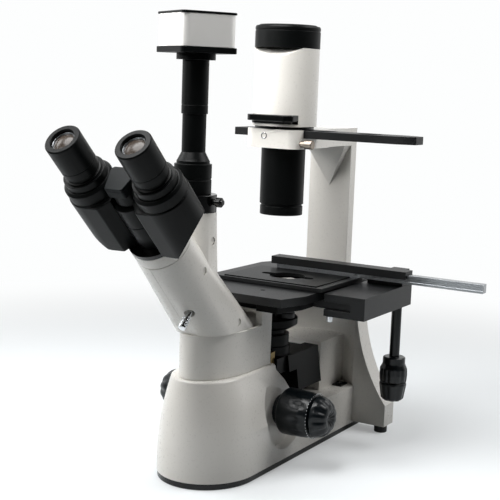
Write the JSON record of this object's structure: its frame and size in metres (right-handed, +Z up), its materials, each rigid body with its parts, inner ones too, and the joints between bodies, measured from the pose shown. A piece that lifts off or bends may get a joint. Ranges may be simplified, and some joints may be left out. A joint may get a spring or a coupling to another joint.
{
  "type": "inverted trinocular microscope",
  "caption": "Inverted microscope with a mechanical stage, inclined eyepieces, a lamp on an arm above the stage and a camera on its photo port.",
  "frame": {"origin": "the optical axis where it meets the surface that the microscope stands on", "axes": "+Z up along the optical axis, +X to the user's right, +Y away from the user"},
  "size_m": [0.316, 0.4696, 0.4505],
  "materials": {
    "white_enamel": "satin powder coat",
    "black_anodised": "satin black",
    "black_plastic": "fine moulded grain",
    "knob_plastic": "smooth moulded",
    "chrome": "polished",
    "steel": "ground",
    "silver_case": "bead blasted and anodised",
    "rubber_foot": "moulded",
    "lens_glass": "polished",
    "lamp_glass": "polished",
    "circuit_board": "solder mask",
    "mirror_block": "first surface mirror on a black block",
    "brass_works": "turned"
  },
  "bodies": {
    "stand": {"base_plate": "black_anodised", "base_body": "white_enamel", "mirror_mount": "mirror_block", "switch_bezel": "black_plastic", "neck_shell": "white_enamel", "rear_tower": "white_enamel", "rear_feet": "rubber_foot", "mains_inlet": "black_plastic", "power_board": "circuit_board", "pillar": "white_enamel", "illumination_arm": "white_enamel", "lamp_flange": "black_anodised", "lamp_housing": "white_enamel", "lamp_cap": "black_plastic", "lamp_holder": "steel", "lamp_bulb": "lamp_glass", "fixed_lenses": "lens_glass", "condenser_tube": "black_anodised", "stage_plate": "black_anodised", "stage_frame": "black_anodised", "y_guide": "black_anodised", "focus_guide": "steel", "light_tube": "black_anodised", "head_shell_left": "white_enamel", "head_shell_right": "white_enamel", "head_plugs": "white_enamel", "head_collar": "white_enamel", "binocular_barrel": "black_anodised", "port_clamp_ring": "black_anodised"},
    "y_stage": {"y_carriage": "black_anodised", "x_guide_bar": "black_anodised", "carriage_screws": "black_plastic"},
    "x_stage": {"x_rail": "steel", "holder_frame": "black_anodised", "specimen_plate": "black_plastic"},
    "y_drive_knob": {"y_knob": "knob_plastic"},
    "x_drive_knob": {"x_knob": "knob_plastic"},
    "focus_block": {"nosepiece_carrier": "black_anodised", "focus_rack": "brass_works"},
    "coarse_focus": {"coarse_knobs": "knob_plastic", "coarse_shaft": "steel"},
    "fine_focus": {"fine_knobs": "knob_plastic"},
    "nosepiece": {"nosepiece_turret": "black_anodised", "objectives": "chrome"},
    "phase_slide": {"phase_slider": "black_anodised"},
    "filter_drawer": {"filter_tray": "black_plastic"},
    "rocker": {"switch_rocker": "knob_plastic"},
    "dial": {"brightness_dial": "knob_plastic"},
    "light_path_rod": {"path_rod": "chrome"},
    "right_ocular": {"ocular_arm_right": "black_plastic"},
    "left_ocular": {"ocular_arm_left": "black_plastic"},
    "diopter": {"diopter_ring_right": "black_plastic"},
    "right_eyepiece": {"eyepiece_right": "black_plastic"},
    "left_eyepiece": {"eyepiece_left": "black_plastic"},
    "camera_unit": {"photo_tube": "black_anodised", "camera_ends": "black_plastic", "camera_body": "silver_case", "camera_board": "circuit_board"},
    "port_screw": {"port_thumbscrew": "chrome"},
    "slider_lock": {"arm_knob": "chrome"}
  },
  "joints": [
    {"name": "stage_y", "type": "slide", "parent": "stand", "child": "y_stage", "axis": [0, 1, 0], "range_m": [-0.045, 0.03]},
    {"name": "stage_x", "type": "slide", "parent": "y_stage", "child": "x_stage", "axis": [1, 0, 0], "range_m": [-0.06, 0.05]},
    {"name": "y_knob_turn", "type": "hinge", "parent": "y_stage", "child": "y_drive_knob", "pos_m": [0.1148, 0.058, 0.1], "axis": [0, 0, 1], "range_deg": [-326, 218]},
    {"name": "x_knob_turn", "type": "hinge", "parent": "y_stage", "child": "x_drive_knob", "pos_m": [0.1148, 0.058, 0.1], "axis": [0, 0, 1], "range_deg": [-433, 362]},
    {"name": "focus_travel", "type": "slide", "parent": "stand", "child": "focus_block", "axis": [0, 0, 1], "range_m": [-0.005, 0.0035]},
    {"name": "coarse_turn", "type": "hinge", "parent": "stand", "child": "coarse_focus", "pos_m": [0, -0.06, 0.057], "axis": [1, 0, 0], "range_deg": [-37, 27]},
    {"name": "fine_turn", "type": "hinge", "parent": "stand", "child": "fine_focus", "pos_m": [0, -0.06, 0.057], "axis": [1, 0, 0], "continuous": true},
    {"name": "nosepiece_turn", "type": "hinge", "parent": "focus_block", "child": "nosepiece", "pos_m": [0, -0.022, 0.14], "axis": [0, 0, 1], "continuous": true},
    {"name": "phase_slide_travel", "type": "slide", "parent": "stand", "child": "phase_slide", "axis": [1, 0, 0], "range_m": [-0.1, 0]},
    {"name": "filter_drawer_travel", "type": "slide", "parent": "stand", "child": "filter_drawer", "axis": [0, -1, 0], "range_m": [0, 0.055]},
    {"name": "rocker_tip", "type": "hinge", "parent": "stand", "child": "rocker", "pos_m": [0.036, 0.089, 0.049], "axis": [1, 0, 0], "range_deg": [0, 16]},
    {"name": "dial_turn", "type": "hinge", "parent": "stand", "child": "dial", "pos_m": [-0.06, 0.06, 0.03], "axis": [1, 0, 0], "range_deg": [0, 270]},
    {"name": "path_rod_travel", "type": "slide", "parent": "stand", "child": "light_path_rod", "axis": [0, 0.7071, 0.7071], "range_m": [0, 0.014]},
    {"name": "right_ipd", "type": "hinge", "parent": "stand", "child": "right_ocular", "pos_m": [0, -0.24749, 0.26929], "axis": [0, -0.7071, 0.7071], "range_deg": [0, 42]},
    {"name": "left_ipd", "type": "hinge", "parent": "stand", "child": "left_ocular", "pos_m": [0, -0.24749, 0.26929], "axis": [0, -0.7071, 0.7071], "range_deg": [-42, 0]},
    {"name": "diopter_turn", "type": "hinge", "parent": "right_ocular", "child": "diopter", "pos_m": [0.037, -0.27507, 0.29686], "axis": [0, -0.7071, 0.7071], "range_deg": [-150, 150]},
    {"name": "right_eyepiece_lift", "type": "slide", "parent": "right_ocular", "child": "right_eyepiece", "axis": [0, -0.7071, 0.7071], "range_m": [0, 0.03]},
    {"name": "left_eyepiece_lift", "type": "slide", "parent": "left_ocular", "child": "left_eyepiece", "axis": [0, -0.7071, 0.7071], "range_m": [0, 0.03]},
    {"name": "camera_turn", "type": "hinge", "parent": "stand", "child": "camera_unit", "pos_m": [0, -0.1712, 0.3], "axis": [0, 0, 1], "continuous": true},
    {"name": "port_screw_turn", "type": "hinge", "parent": "stand", "child": "port_screw", "pos_m": [0.03, -0.1712, 0.278], "axis": [1, 0, 0], "range_deg": [0, 360]},
    {"name": "slider_lock_turn", "type": "hinge", "parent": "stand", "child": "slider_lock", "pos_m": [0.04, -0.021, 0.3275], "axis": [1, 0, 0], "range_deg": [0, 360]}
  ],
  "couplings": [
    {"joint": "y_knob_turn", "follows": "stage_y", "rad_per_m": 125},
    {"joint": "x_knob_turn", "follows": "stage_x", "rad_per_m": 125},
    {"joint": "coarse_turn", "follows": "focus_travel", "rad_per_m": 125},
    {"joint": "left_ipd", "follows": "right_ipd", "ratio": -1}
  ]
}
